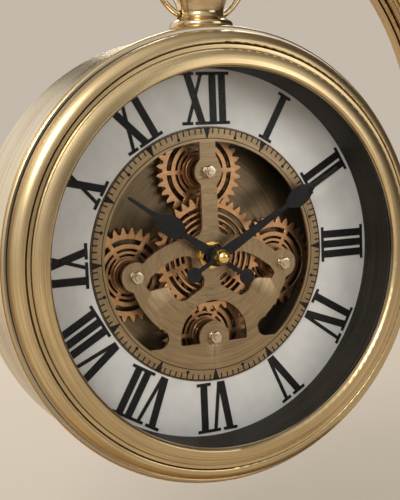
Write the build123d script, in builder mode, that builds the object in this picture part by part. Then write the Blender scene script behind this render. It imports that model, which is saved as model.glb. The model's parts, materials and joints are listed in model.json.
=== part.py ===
"""Table clock: a round gear clock hung by its bow inside a moulded brass arch on a stepped base.

Millimetres. X is to the right, Y to the back, Z up. The origin is the middle of the base's
underside, and the arch, the bow and the pendant neck stand in the plane Y = 0.
Depths on the clock head are measured from the front of the skeleton plate, towards the viewer.
"""
import os
from math import acos, cos, degrees, pi, radians, sin, sqrt, tan

from build123d import *

os.makedirs("parts", exist_ok=True)

# Clearances
running = 0.06  # radial, for a shaft that turns in its bore
loose = 0.2  # radial, for a screw or post in a through hole

# Base
base_overhang = 16.0  # how far the base reaches past the arch at each end
base_width = 112.0
base_corner = 20.0
felt_thickness = 2.0
felt_inset = 4.0
plinth_height = 16.0
plinth_edge = 5.0
plinth_wall = 9.0
plinth_ceiling = 7.0
cap_inset = 12.0
cap_height = 8.0
cap_edge = 3.0
ballast_inset = 15.0  # from the base's ends
ballast_width = 84.0
ballast_thickness = 8.0

# Arch
arch_gap = 15.6  # between the bezel's rim and the arch
arch_width = 26.0
arch_edge_depth = 3.0  # half the depth of the inner and outer edge bands
arch_bead_depth = 4.4
arch_band_depth = 6.2
arch_rib_depth = 8.0  # half the depth of the broad middle rib
arch_groove = 0.9
arch_bead_width = 2.6
arch_band_width = 2.2
arch_cove_width = 2.4
arch_cove_depth = 0.9
arch_corner = 0.5  # how far the mouldings' corners lie below their crowns
arch_bead_crown = 0.3
arch_rib_crown = 0.15
shoe_wall = 5.0
shoe_height = 12.0
leg_bolt_radius = 3.0
leg_bolt_reach = 18.0
leg_bolt_spacing = 12.0
bolt_head_radius = 5.0
bolt_head_height = 4.0

# Clock head: heights above the base, and the place of the head in the arch
head_gap = 62.6  # from the base's top to the bezel's lowest point
dial_offset = -2.0  # the skeleton plate's front, along Y

# Case and bezel, radii and depths
case_wall = 2.0
case_back = -37.0
case_front = 13.6
ledge_width = 5.0
ledge_thickness = 2.0
bezel_overhang = 1.4  # past the case
bezel_step_width = 2.5
bezel_step_depth = 17.6
bezel_bead_height = 4.0
outer_band_width = 6.8
outer_band_front = 25.0
groove_floor = 21.0
skirt_depth = 4.0
skirt_wall = 3.5
skirt_fit = 0.05
band_edge = 0.8  # the drop of the bands' turned-over edges
seat_width = 3.9  # how far the seat stands out past the opening
seat_thickness = 2.0
bezel_ledge = 24.8  # the narrow flat between the bands
bezel_groove_floor = 23.0
bezel_groove_width = 0.5
inner_band_width = 8.6
band_spacing = 2.4
inner_band_outer_front = 26.5
inner_band_front = 28.2
opening_margin = 0.7  # from the numerals to the bezel's opening
inner_band_foot = 2.3
lens_clearance = 0.3
gasket_thickness = 1.0
lens_thickness = 2.2
rehaut_setback = 1.0  # behind the bezel's opening
rehaut_wall = 1.9

# Dial and numerals
plate_thickness = 1.6
dial_gap = 0.3  # round the skeleton plate
dial_drop = 0.6  # the dial's face lies this far behind the skeleton plate's front
numeral_margin = 1.1  # from the skeleton plate to the numerals
numeral_height = 26.0
numeral_relief = 0.3
stem_width = 3.9
hairline = 1.9
serif_height = 1.6
serif_overhang = 2.0
stem_pitch = 5.3
vee_spread = 8.6
ex_spread = 8.2
letter_gap = 1.3

# Skeleton plate
plate_radius = 64.3
minute_ring_width = 7.1
plate_bar_width = 8.8
centre_boss_radius = 12.5
post_boss_radius = 7.5
foot_boss_radius = 8.4
lower_arm_radius = 45.4
segment_height = 44.7  # the bottom segment's straight edge, below the centre
foot_window_radius = 18.7
foot_window_drop = 41.6

# Gear chamber
pan_radius = 69.0
pan_wall = 1.5
pan_floor = -16.0
back_disc_thickness = 1.0
pan_flange_setback = 1.8  # behind the minute ring
pan_lip = 0.8
pan_lip_width = 8.0
pan_screw_radius = 1.5
pan_screw_head_radius = 2.4
pan_screw_inset = 2.6  # from the case's bore
pan_screw_count = 6

# Gear train
gear_module = 1.5
pressure_angle = 25.0
backlash = 0.35
wheel_addendum = 0.85  # in modules; the teeth are cut short and blunt
wheel_teeth = 38
pinion_teeth = 26
satellite_teeth = 30
motor_teeth = 10
gear_thickness = 2.0
wheel_front = -3.6
satellite_front = -10.6
side_gear_angle = -10.4
motor_angle = -50.2
wheel_phase = 3.0  # the angle of one tooth's middle
pinion_phase = 4.0
wheel_gaps = [(22.3, 24.4), (19.3, 21.2), (16.3, 18.2), (13.3, 15.2)]  # inner and outer radii
pinion_gap = (9.6, 15.0)
satellite_gaps = [(15.7, 18.1), (12.1, 13.4), (9.6, 10.7)]
spoke_count = 6
wheel_spoke = 2.6
satellite_spoke = 2.2
gear_hub_radius = 6.5
gear_hub_wall = 1.5
cup_radius = 8.9
cup_wall = 2.3
cup_floor = 0.8
cup_front = -7.6
post_radius = 1.5
post_foot_radius = 4.0
post_sleeve_radius = 3.2
satellite_hub_radius = 4.2
post_tip = 3.8
nut_flats = 5.5
nut_height = 2.4
nut_turn = 12.0
post_washer_radius = 3.3
post_washer_thickness = 0.6
end_gap = 0.3  # axial play at each end of a turning hub

# Time movement and hands
movement_side = 56.0
movement_depth = 14.5
bay_wall = 2.5
bay_floor = 0.8
bay_margin = 1.0
movement_corner = 3.0
hub_well = 4.0  # how deep the hands' tube and arbor reach into the movement
bush_radius = 4.0
bush_front = 4.4
centre_nut_flats = 12.0
centre_nut_height = 2.6
centre_nut_turn = 8.0
centre_washer_radius = 6.9
centre_washer_thickness = 0.5
hour_tube_radius = 2.5
arbor_radius = 1.5
hand_thickness = 0.8
hour_hand_level = 5.4
minute_hand_level = 8.2
hour_hand_reach = 55.9
minute_hand_reach = 82.0
hour_angle = 305.0
minute_angle = 60.0
hour_hub_radius = 5.2
minute_hub_radius = 4.8
tail_stem = 2.2
tube_rise = 0.6  # the hour tube stands proud of its hand
tip_half = 0.8  # half the width of a hand's tip
hand_cap_radius = 3.9
hand_cap_wall = 3.6
hand_cap_flat = 0.8
setting_knob_radius = 6.0
setting_knob_height = 4.0
setting_knob_offset = 14.0
setting_stem_reach = 6.0
setting_knurls = 16
setting_knurl_radius = 0.8

# Gear motor, its cells, its switch and the rear cover
motor_radius = 7.5
motor_depth = 14.0
motor_shaft_radius = 1.0
motor_collar_radius = 2.5
motor_addendum = 0.8  # in modules
cell_radius = 7.2
cell_length = 50.0
battery_box_length = 60.0
battery_box_width = 32.0
battery_box_depth = 15.8
battery_box_drop = 83.0
battery_box_wall = 1.2
hatch_length = 56.0
hatch_width = 29.0
door_length = 60.0
door_width = 33.0
door_thickness = 1.5
door_gap = 0.1
door_ridge_width = 1.2
door_ridge_count = 4
rail_wall = 1.6
rail_lip = 2.5
rail_lip_thickness = 1.0
rail_length = 48.0
switch_height = -43.0
switch_side = 78.0
switch_length = 18.0
switch_width = 9.0
switch_depth = 8.0
slider_length = 6.0
slider_width = 4.0
slider_travel = 4.0
slider_height = 3.0
slot_margin = 1.0
rear_cover_thickness = 1.5
rear_recess = 2.5
rear_window_side = 58.0
cover_screw_radius = 1.5
cover_screw_count = 4
screw_head_radius = 2.6
screw_head_height = 1.4

# Pendant neck, crown and bow
neck_flange_radius = 15.6
neck_flange_rise = 4.6
neck_waist_radius = 11.2
neck_top_radius = 14.4
neck_height = 18.0  # above the case
neck_sink = 4.0  # how far the flange's skirt reaches down over the case
neck_bead = 1.8  # half the height of the bead round the flange
neck_lip = 0.6
neck_curve = 2.4
crown_radius = 15.2
crown_height = 10.0
crown_flat = 4.0
crown_foot = 1.4  # the crown's underside is turned in by this much
flute_count = 24
flute_radius = 0.9
neck_screw_radius = 2.0
neck_screw_head_radius = 3.2
neck_screw_head_height = 2.4
neck_screw_spacing = 14.0
neck_screw_reach = 6.0
bow_wire_radius = 1.5
bow_radius = 25.0
bow_blend_radius = 8.0
bow_pin_inner = 5.0
pivot_rise = 8.0  # the bow's pins, above the case
bow_centre_rise = 22.0  # the bow ring's centre above its pins
pin_end_gap = 0.5
pin_hole_mouth = 2.4
pin_hole_mouth_depth = 3.0

# Hook and finial
hook_wire_radius = 2.0
hook_loop_radius = 5.0
hook_bend_radius = 3.0
hook_end_angle = 340.0  # where the open loop ends, with the back at 0
hook_slack = 0.3
hook_hang = 12.8  # from the crown's underside down to the middle of the loop
finial_radius = 9.0
finial_neck_radius = 4.5
finial_washer_radius = 8.0
finial_washer_height = 2.0
finial_washer_sink = 0.4  # the washer is curved to sit on the crown
finial_foot = 1.5  # the finial's foot stands out past its neck
finial_foot_height = 1.2
finial_height = 20.0
finial_tip = 0.35  # the tip's radius as a share of the finial's

# Derived radii, from the skeleton plate outwards
plate_opening_radius = plate_radius - minute_ring_width
pan_flange_bore = plate_opening_radius + pan_flange_setback
dial_bore = plate_radius + dial_gap
numeral_inner = plate_radius + numeral_margin
numeral_outer = numeral_inner + numeral_height
bezel_opening_radius = numeral_outer + opening_margin
rehaut_radius = bezel_opening_radius + rehaut_setback
seat_radius = bezel_opening_radius + seat_width
dial_radius = seat_radius + rehaut_setback
inner_band_outer_radius = bezel_opening_radius + inner_band_width
outer_band_inner_radius = inner_band_outer_radius + band_spacing
bezel_step_radius = outer_band_inner_radius + outer_band_width
bezel_radius = bezel_step_radius + bezel_step_width
case_radius = bezel_radius - bezel_overhang
case_bore = case_radius - case_wall
pan_screw_circle = case_bore - pan_screw_inset
arch_inner_radius = bezel_radius + arch_gap
arch_outer_radius = arch_inner_radius + arch_width
arch_middle_radius = arch_inner_radius + arch_width / 2
base_length = 2 * (arch_outer_radius + base_overhang)
ballast_length = base_length - 2 * ballast_inset

# Derived places
plinth_top = felt_thickness + plinth_height
base_top = plinth_top + cap_height
pocket_top = plinth_top - plinth_ceiling
ballast_floor = pocket_top - ballast_thickness
head_z = base_top + head_gap + bezel_radius
pivot_z = head_z + case_radius + pivot_rise
bow_z = pivot_z + bow_centre_rise
hook_z = bow_z + bow_radius + hook_loop_radius - hook_wire_radius - bow_wire_radius - hook_slack
arch_z = hook_z + hook_hang - arch_inner_radius

plate_back = -plate_thickness
dial_front = -dial_drop
flange_back = plate_back - pan_wall
ledge_bore = case_bore - ledge_width
lens_back = groove_floor + gasket_thickness
lens_radius = inner_band_outer_radius - inner_band_foot - lens_clearance
disc_back = pan_floor - back_disc_thickness
pan_back = disc_back - pan_wall
movement_back = pan_back - movement_depth
cover_front = case_back + rear_recess
cover_back = cover_front - rear_cover_thickness
gear_hub_bore = gear_hub_radius - gear_hub_wall
wheel_back = wheel_front - gear_thickness
satellite_back = satellite_front - gear_thickness
pivot_circle = gear_module * (pinion_teeth + satellite_teeth) / 2
motor_circle = gear_module * (wheel_teeth + motor_teeth) / 2
satellite_angles = {"top": 90.0, "right": side_gear_angle, "bottom": -90.0, "left": 180.0 - side_gear_angle}

face = Plane(origin=(0, dial_offset, head_z), x_dir=(1, 0, 0), z_dir=(0, -1, 0))
section = Plane(origin=(0, dial_offset, head_z), x_dir=(1, 0, 0), z_dir=(0, 0, -1))
dial_axis = Axis((0, dial_offset, head_z), (0, -1, 0))
upright = Plane.XZ


def on_circle(radius, angle):
    """A point of the dial plane, by its distance and angle from the centre."""
    return (radius * cos(radians(angle)), radius * sin(radians(angle)))


def level(depth):
    """The plane parallel to the dial at this depth."""
    return face.offset(depth)


def turned_level(depth, angle):
    """The same plane with its X axis turned by this angle, anticlockwise as the dial is read."""
    across = (cos(radians(angle)), 0, sin(radians(angle)))
    return Plane(origin=level(depth).origin, x_dir=across, z_dir=(0, -1, 0))


def face_place(depth, point):
    """The plane parallel to the dial at this depth, with its origin at a point of the dial."""
    origin = level(depth).from_local_coords((point[0], point[1], 0))
    return Plane(origin=origin, x_dir=(1, 0, 0), z_dir=(0, -1, 0))


def turned(points):
    """Turn a closed outline of (radius, depth) points about the dial's axis, in the active part."""
    with BuildSketch(section) as outline:
        with BuildLine():
            Polyline(*points, close=True)
        make_face()
    revolve(outline.sketch, axis=dial_axis)


def ring(inner, outer, front, back):
    """A flat ring about the dial's axis, in the active part."""
    with BuildSketch(level(back)) as flat:
        Circle(outer)
        if inner > 0:
            Circle(inner, mode=Mode.SUBTRACT)
    extrude(flat.sketch, amount=front - back)


def post_locations():
    """The four satellite pivots, in the dial plane."""
    return [on_circle(pivot_circle, angle) for angle in satellite_angles.values()]


# Base

with BuildPart() as felt_pad:
    with BuildSketch():
        RectangleRounded(base_length - 2 * felt_inset, base_width - 2 * felt_inset, base_corner - felt_inset)
    extrude(amount=felt_thickness)
felt_pad.part.label = "felt_pad"
export_step(felt_pad.part, "parts/felt_pad.step")

bolt_places = [
    (side * (arch_middle_radius + shift * leg_bolt_spacing / 2), 0) for side in (-1, 1) for shift in (-1, 1)
]

with BuildPart() as base_plinth:
    with BuildSketch(Plane.XY.offset(felt_thickness)):
        RectangleRounded(base_length, base_width, base_corner)
    extrude(amount=plinth_height)
    fillet(base_plinth.edges().group_by(Axis.Z)[-1], plinth_edge)
    with BuildSketch(Plane.XY.offset(felt_thickness)):
        RectangleRounded(
            base_length - 2 * plinth_wall, base_width - 2 * plinth_wall, base_corner - plinth_wall
        )
    extrude(amount=plinth_height - plinth_ceiling, mode=Mode.SUBTRACT)
    with BuildSketch(Plane.XY.offset(pocket_top)):
        with Locations(*bolt_places):
            Circle(leg_bolt_radius + loose)
    extrude(amount=plinth_ceiling, mode=Mode.SUBTRACT)
base_plinth.part.label = "base_plinth"
export_step(base_plinth.part, "parts/base_plinth.step")

with BuildPart() as ballast_plate:
    with BuildSketch(Plane.XY.offset(ballast_floor)):
        Rectangle(ballast_length, ballast_width)
    extrude(amount=ballast_thickness)
    with BuildSketch(Plane.XY.offset(ballast_floor)):
        with Locations(*bolt_places):
            Circle(bolt_head_radius + loose)
    extrude(amount=bolt_head_height, mode=Mode.SUBTRACT)
    with BuildSketch(Plane.XY.offset(ballast_floor)):
        with Locations(*bolt_places):
            Circle(leg_bolt_radius + loose)
    extrude(amount=ballast_thickness, mode=Mode.SUBTRACT)
ballast_plate.part.label = "ballast_plate"
export_step(ballast_plate.part, "parts/ballast_plate.step")

with BuildPart() as base_cap:
    with BuildSketch(Plane.XY.offset(plinth_top)):
        RectangleRounded(base_length - 2 * cap_inset, base_width - 2 * cap_inset, base_corner - cap_inset / 2)
    extrude(amount=cap_height)
    fillet(base_cap.edges().group_by(Axis.Z)[-1], cap_edge)
    with BuildSketch(Plane.XY.offset(plinth_top)):
        with Locations(*bolt_places):
            Circle(leg_bolt_radius + loose)
    extrude(amount=cap_height, mode=Mode.SUBTRACT)
base_cap.part.label = "base_cap"
export_step(base_cap.part, "parts/base_cap.step")

with BuildPart() as leg_bolts:
    with BuildSketch(Plane.XY.offset(ballast_floor)):
        with Locations(*bolt_places):
            RegularPolygon(bolt_head_radius, 6)
    extrude(amount=bolt_head_height)
    with BuildSketch(Plane.XY.offset(ballast_floor + bolt_head_height)):
        with Locations(*bolt_places):
            Circle(leg_bolt_radius)
    extrude(amount=base_top + leg_bolt_reach - ballast_floor - bolt_head_height)
leg_bolts.part.label = "leg_bolts"
export_step(leg_bolts.part, "parts/leg_bolts.step")

# Arch: the moulded section is drawn across the right leg and follows the legs and the crown

bead_start = arch_groove
bead_end = bead_start + arch_bead_width
band_start = bead_end + arch_groove / 2
band_end = band_start + arch_band_width
cove_end = band_end + arch_cove_width


def moulding(left, sign):
    """Draw one half of the arch's section, from its middle plane towards the front or the back."""

    def place(across, depth):
        return (left + across, sign * depth)

    with BuildLine() as half:
        Polyline(
            place(arch_width / 2, 0),
            place(0, 0),
            place(0, arch_edge_depth),
            place(bead_start, arch_edge_depth),
            place(bead_start, arch_bead_depth - arch_corner),
        )
        ThreePointArc(
            place(bead_start, arch_bead_depth - arch_corner),
            place((bead_start + bead_end) / 2, arch_bead_depth + arch_bead_crown),
            place(bead_end, arch_bead_depth - arch_corner),
        )
        Polyline(
            place(bead_end, arch_bead_depth - arch_corner),
            place(bead_end, arch_edge_depth),
            place(band_start, arch_edge_depth),
            place(band_start, arch_band_depth - arch_corner),
            place(band_end, arch_band_depth),
        )
        ThreePointArc(
            place(band_end, arch_band_depth),
            place((band_end + cove_end) / 2, arch_band_depth - arch_cove_depth),
            place(cove_end, arch_band_depth),
        )
        Polyline(
            place(cove_end, arch_band_depth),
            place(cove_end, arch_rib_depth - arch_corner),
        )
        ThreePointArc(
            place(cove_end, arch_rib_depth - arch_corner),
            place((cove_end + arch_width / 2) / 2, arch_rib_depth - arch_rib_crown),
            place(arch_width / 2, arch_rib_depth),
        )
        Line(place(arch_width / 2, arch_rib_depth), place(arch_width / 2, 0))
    make_face(half.edges())


with BuildPart() as arch_frame:
    with BuildSketch(Plane.XY.offset(arch_z)) as arch_section:
        moulding(arch_inner_radius, 1)
        moulding(arch_inner_radius, -1)
        mirror(about=Plane.YZ.offset(arch_middle_radius))
    right_leg = extrude(amount=base_top - arch_z)
    mirror(right_leg, about=Plane.YZ)
    revolve(arch_section.sketch, axis=Axis((0, 0, arch_z), (0, -1, 0)), revolution_arc=180)
    with BuildSketch(Plane.XY.offset(base_top)):
        with Locations(*bolt_places):
            Circle(leg_bolt_radius)
    extrude(amount=leg_bolt_reach, mode=Mode.SUBTRACT)
    with BuildSketch(Plane.XY.offset(arch_z + arch_inner_radius - 1)):
        Circle(hook_wire_radius)
    extrude(amount=arch_width + 2, mode=Mode.SUBTRACT)
arch_frame.part.label = "arch_frame"
export_step(arch_frame.part, "parts/arch_frame.step")

for side, sign in (("left", -1), ("right", 1)):
    with BuildPart() as leg_shoe:
        with BuildSketch(Plane.XY.offset(base_top)):
            with Locations((sign * arch_middle_radius, 0)):
                Rectangle(arch_width + 2 * shoe_wall, 2 * (arch_rib_depth + shoe_wall))
        extrude(amount=shoe_height)
        chamfer(leg_shoe.edges().group_by(Axis.Z)[-1], shoe_wall / 2)
        with BuildSketch(Plane.XY.offset(base_top)):
            with Locations((sign * arch_middle_radius, 0)):
                Rectangle(arch_width, 2 * arch_rib_depth)
        extrude(amount=shoe_height, mode=Mode.SUBTRACT)
    leg_shoe.part.label = "leg_shoe_" + side
    export_step(leg_shoe.part, "parts/leg_shoe_" + side + ".step")

# Hook under the crown, with its nut washer and finial above it

crown_under = arch_z + arch_inner_radius
crown_top = arch_z + arch_outer_radius
finial_floor = crown_top + finial_washer_height - finial_washer_sink
finial_waist = finial_floor + 2 * finial_foot_height
finial_centre = finial_waist + sqrt(finial_radius**2 - finial_neck_radius**2)
finial_shoulder = finial_centre + finial_radius * sqrt(1 - finial_tip**2)

bend_rise = sqrt((hook_bend_radius + hook_loop_radius) ** 2 - hook_bend_radius**2)
bend_turn = acos(hook_bend_radius / (hook_bend_radius + hook_loop_radius))
bend_share = hook_loop_radius / (hook_bend_radius + hook_loop_radius)
hook_top = finial_floor + finial_radius


def hook_point(angle):
    """A point of the hook's loop in the plane X = 0, with the front at 180 degrees."""
    return (0, hook_loop_radius * cos(radians(angle)), hook_z + hook_loop_radius * sin(radians(angle)))


loop_start = (0, -hook_bend_radius * bend_share, hook_z + bend_rise * bend_share)
bend_middle = (
    0,
    hook_bend_radius * (cos(bend_turn / 2) - 1),
    hook_z + bend_rise - hook_bend_radius * sin(bend_turn / 2),
)

with BuildPart() as hanger_hook:
    with BuildLine():
        Line((0, 0, hook_top), (0, 0, hook_z + bend_rise))
        ThreePointArc((0, 0, hook_z + bend_rise), bend_middle, loop_start)
        ThreePointArc(loop_start, hook_point(220), hook_point(hook_end_angle))
    with BuildSketch(Plane.XY.offset(hook_top)):
        Circle(hook_wire_radius)
    sweep()
hanger_hook.part.label = "hanger_hook"
export_step(hanger_hook.part, "parts/hanger_hook.step")

with BuildPart() as finial_washer:
    with BuildSketch(Plane.XY.offset(crown_top - finial_washer_sink)):
        Circle(finial_washer_radius)
        Circle(hook_wire_radius, mode=Mode.SUBTRACT)
    extrude(amount=finial_washer_height)
    with BuildSketch(Plane.XZ):
        with Locations((0, arch_z)):
            Circle(arch_outer_radius)
    extrude(amount=2 * finial_washer_radius, both=True, mode=Mode.SUBTRACT)
finial_washer.part.label = "finial_washer"
export_step(finial_washer.part, "parts/finial_washer.step")

with BuildPart() as crown_finial:
    with BuildSketch(Plane.XZ):
        with BuildLine():
            Polyline(
                (0, finial_floor),
                (finial_neck_radius + finial_foot, finial_floor),
                (finial_neck_radius + finial_foot, finial_floor + finial_foot_height),
                (finial_neck_radius, finial_waist),
            )
            ThreePointArc(
                (finial_neck_radius, finial_waist),
                (finial_radius, finial_centre),
                (finial_radius * finial_tip, finial_shoulder),
            )
            Polyline(
                (finial_radius * finial_tip, finial_shoulder),
                (0, finial_floor + finial_height),
                (0, finial_floor),
            )
        make_face()
    revolve(axis=Axis.Z)
    with BuildSketch(Plane.XY.offset(finial_floor)):
        Circle(hook_wire_radius)
    extrude(amount=finial_radius, mode=Mode.SUBTRACT)
crown_finial.part.label = "crown_finial"
export_step(crown_finial.part, "parts/crown_finial.step")

# Bow: a ring of wire whose ends turn inwards and rest in the pendant neck

blend_x = sqrt((bow_radius - bow_blend_radius) ** 2 - (bow_centre_rise - bow_blend_radius) ** 2)
blend_share = bow_radius / (bow_radius - bow_blend_radius)
join_x = blend_x * blend_share
join_z = bow_z - (bow_centre_rise - bow_blend_radius) * blend_share
blend_turn = acos((bow_centre_rise - bow_blend_radius) / (bow_radius - bow_blend_radius)) / 2
blend_mid = (
    blend_x + bow_blend_radius * sin(blend_turn),
    pivot_z + bow_blend_radius * (1 - cos(blend_turn)),
)

with BuildPart() as bow:
    with BuildLine(upright):
        Line((bow_pin_inner, pivot_z), (blend_x, pivot_z))
        ThreePointArc((blend_x, pivot_z), blend_mid, (join_x, join_z))
        ThreePointArc((join_x, join_z), (bow_radius, bow_z), (0, bow_z + bow_radius))
    with BuildSketch(Plane.YZ.offset(bow_pin_inner)):
        with Locations((0, pivot_z)):
            Circle(bow_wire_radius)
    sweep()
    mirror(about=Plane.YZ)
bow.part.label = "bow"
export_step(bow.part, "parts/bow.step")

# Pendant neck, its crown and its screw

neck_floor = head_z + case_radius - neck_sink
flange_top = head_z + case_radius + neck_flange_rise
neck_top = head_z + case_radius + neck_height
neck_screw_top = head_z + case_radius + neck_screw_reach
neck_screw_places = [(0, side * neck_screw_spacing / 2) for side in (-1, 1)]
neck_screw_seat = head_z + sqrt(case_bore**2 - neck_screw_head_radius**2)
flange_edge = neck_flange_radius - neck_bead / 2

with BuildPart() as pendant_neck:
    with BuildSketch(Plane.XZ):
        with BuildLine():
            Polyline((0, neck_top), (0, neck_floor), (flange_edge, neck_floor))
            Line((flange_edge, neck_floor), (flange_edge, flange_top - 2 * neck_bead))
            ThreePointArc(
                (flange_edge, flange_top - 2 * neck_bead),
                (neck_flange_radius, flange_top - neck_bead),
                (flange_edge, flange_top),
            )
            ThreePointArc(
                (flange_edge, flange_top),
                (neck_waist_radius + neck_lip, flange_top + neck_curve),
                (neck_waist_radius, pivot_z + neck_lip),
            )
            ThreePointArc(
                (neck_waist_radius, pivot_z + neck_lip),
                (neck_waist_radius + 2 * neck_lip, (pivot_z + neck_top) / 2 + neck_lip),
                (neck_top_radius, neck_top - neck_lip),
            )
            Polyline((neck_top_radius, neck_top - neck_lip), (neck_top_radius, neck_top), (0, neck_top))
        make_face()
    revolve(axis=Axis.Z)
    with BuildSketch(upright):
        with Locations((0, head_z)):
            Circle(case_radius)
    extrude(amount=2 * neck_flange_radius, both=True, mode=Mode.SUBTRACT)
    with BuildSketch(Plane.YZ.offset(bow_pin_inner - pin_end_gap)):
        with Locations((0, pivot_z)):
            Circle(bow_wire_radius + running)
    pin_hole = extrude(amount=neck_flange_radius, mode=Mode.SUBTRACT)
    with BuildSketch(Plane.YZ.offset(neck_waist_radius - pin_hole_mouth_depth)):
        with Locations((0, pivot_z)):
            Circle(pin_hole_mouth)
    pin_mouth = extrude(amount=neck_flange_radius, mode=Mode.SUBTRACT)
    mirror(pin_hole, about=Plane.YZ, mode=Mode.SUBTRACT)
    mirror(pin_mouth, about=Plane.YZ, mode=Mode.SUBTRACT)
    with BuildSketch(Plane.XY.offset(neck_floor)):
        with Locations(*neck_screw_places):
            Circle(neck_screw_radius)
    extrude(amount=neck_screw_top - neck_floor, mode=Mode.SUBTRACT)
pendant_neck.part.label = "pendant_neck"
export_step(pendant_neck.part, "parts/pendant_neck.step")

with BuildPart() as crown_knob:
    with BuildSketch(Plane.XZ):
        with BuildLine():
            Polyline(
                (0, neck_top),
                (neck_top_radius - crown_foot, neck_top),
                (crown_radius, neck_top + crown_foot),
                (crown_radius, neck_top + crown_height / 2),
            )
            ThreePointArc(
                (crown_radius, neck_top + crown_height / 2),
                (crown_radius * 0.74, neck_top + crown_height * 0.88),
                (crown_flat, neck_top + crown_height),
            )
            Polyline((crown_flat, neck_top + crown_height), (0, neck_top + crown_height), (0, neck_top))
        make_face()
    revolve(axis=Axis.Z)
    with BuildSketch(Plane.XY.offset(neck_top)):
        with PolarLocations(crown_radius + flute_radius / 3, flute_count):
            Circle(flute_radius)
    extrude(amount=crown_height, mode=Mode.SUBTRACT)
crown_knob.part.label = "crown_knob"
export_step(crown_knob.part, "parts/crown_knob.step")

with BuildPart() as neck_screws:
    with BuildSketch(Plane.XY.offset(neck_screw_seat - neck_screw_head_height)):
        with Locations(*neck_screw_places):
            Circle(neck_screw_head_radius)
    extrude(amount=neck_screw_head_height)
    with BuildSketch(Plane.XY.offset(neck_screw_seat)):
        with Locations(*neck_screw_places):
            Circle(neck_screw_radius)
    extrude(amount=neck_screw_top - neck_screw_seat)
neck_screws.part.label = "neck_screws"
export_step(neck_screws.part, "parts/neck_screws.step")

# Case band: a drum with a ledge for the gear chamber and a ledge for the rear cover

with BuildPart() as case_band:
    turned(
        [
            (case_bore, case_front),
            (case_radius, case_front),
            (case_radius, case_back),
            (case_bore, case_back),
            (case_bore, cover_front),
            (ledge_bore, cover_front),
            (ledge_bore, cover_front + ledge_thickness),
            (case_bore, cover_front + ledge_thickness),
            (case_bore, flange_back - ledge_thickness),
            (ledge_bore, flange_back - ledge_thickness),
            (ledge_bore, flange_back),
            (case_bore, flange_back),
        ]
    )
    with BuildSketch(level(flange_back - ledge_thickness)):
        with PolarLocations(pan_screw_circle, pan_screw_count):
            Circle(pan_screw_radius)
    extrude(amount=ledge_thickness, mode=Mode.SUBTRACT)
    with BuildSketch(level(cover_front)):
        with PolarLocations(pan_screw_circle, cover_screw_count, 45):
            Circle(cover_screw_radius)
    extrude(amount=ledge_thickness, mode=Mode.SUBTRACT)
    with BuildSketch(Plane.XY.offset(head_z + case_bore - 1)):
        with Locations(*neck_screw_places):
            Circle(neck_screw_radius)
    extrude(amount=case_wall + 2, mode=Mode.SUBTRACT)
case_band.part.label = "case_band"
export_step(case_band.part, "parts/case_band.step")

with BuildPart() as outer_bezel:
    with BuildSketch(section):
        with BuildLine():
            Polyline(
                (case_radius, case_front),
                (case_bore - skirt_fit, case_front),
                (case_bore - skirt_fit, case_front - skirt_depth),
                (case_bore - skirt_wall, case_front - skirt_depth),
                (case_bore - skirt_wall, groove_floor - seat_thickness),
                (seat_radius, groove_floor - seat_thickness),
                (seat_radius, groove_floor),
                (inner_band_outer_radius + loose, groove_floor),
                (inner_band_outer_radius + loose, bezel_ledge),
                (outer_band_inner_radius - bezel_groove_width, bezel_ledge),
                (outer_band_inner_radius - bezel_groove_width, bezel_groove_floor),
                (outer_band_inner_radius, bezel_groove_floor),
                (outer_band_inner_radius, outer_band_front - band_edge),
            )
            ThreePointArc(
                (outer_band_inner_radius, outer_band_front - band_edge),
                (outer_band_inner_radius + 0.3, outer_band_front - 0.2),
                (outer_band_inner_radius + 1.0, outer_band_front),
            )
            ThreePointArc(
                (outer_band_inner_radius + 1.0, outer_band_front),
                (outer_band_inner_radius + 4.6, outer_band_front - 1.7),
                (bezel_step_radius, bezel_step_depth + 1.6),
            )
            Polyline(
                (bezel_step_radius, bezel_step_depth + 1.6),
                (bezel_step_radius, bezel_step_depth),
                (bezel_radius - 1.2, bezel_step_depth),
            )
            ThreePointArc(
                (bezel_radius - 1.2, bezel_step_depth),
                (bezel_radius, case_front + bezel_bead_height / 2),
                (bezel_radius - 0.6, case_front),
            )
            Line((bezel_radius - 0.6, case_front), (case_radius, case_front))
        make_face()
    revolve(axis=dial_axis)
outer_bezel.part.label = "outer_bezel"
export_step(outer_bezel.part, "parts/outer_bezel.step")

with BuildPart() as inner_bezel:
    with BuildSketch(section):
        with BuildLine():
            Polyline(
                (inner_band_outer_radius, groove_floor),
                (inner_band_outer_radius, inner_band_outer_front - band_edge),
            )
            ThreePointArc(
                (inner_band_outer_radius, inner_band_outer_front - band_edge),
                (inner_band_outer_radius - 0.3, inner_band_outer_front - 0.2),
                (inner_band_outer_radius - 1.0, inner_band_outer_front),
            )
            ThreePointArc(
                (inner_band_outer_radius - 1.0, inner_band_outer_front),
                (inner_band_outer_radius - 4.0, inner_band_outer_front + 1.2),
                (bezel_opening_radius + 1.4, inner_band_front),
            )
            ThreePointArc(
                (bezel_opening_radius + 1.4, inner_band_front),
                (bezel_opening_radius, inner_band_front - 1.5),
                (bezel_opening_radius + 0.6, lens_back + lens_thickness),
            )
            Polyline(
                (bezel_opening_radius + 0.6, lens_back + lens_thickness),
                (lens_radius + lens_clearance, lens_back + lens_thickness),
                (lens_radius + lens_clearance, groove_floor),
                (inner_band_outer_radius, groove_floor),
            )
        make_face()
    revolve(axis=dial_axis)
inner_bezel.part.label = "inner_bezel"
export_step(inner_bezel.part, "parts/inner_bezel.step")

with BuildPart() as lens_gasket:
    ring(rehaut_radius + loose, lens_radius, lens_back, groove_floor)
lens_gasket.part.label = "lens_gasket"
export_step(lens_gasket.part, "parts/lens_gasket.step")

with BuildPart() as glass_lens:
    ring(0, lens_radius, lens_back + lens_thickness, lens_back)
glass_lens.part.label = "glass_lens"
export_step(glass_lens.part, "parts/glass_lens.step")

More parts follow.
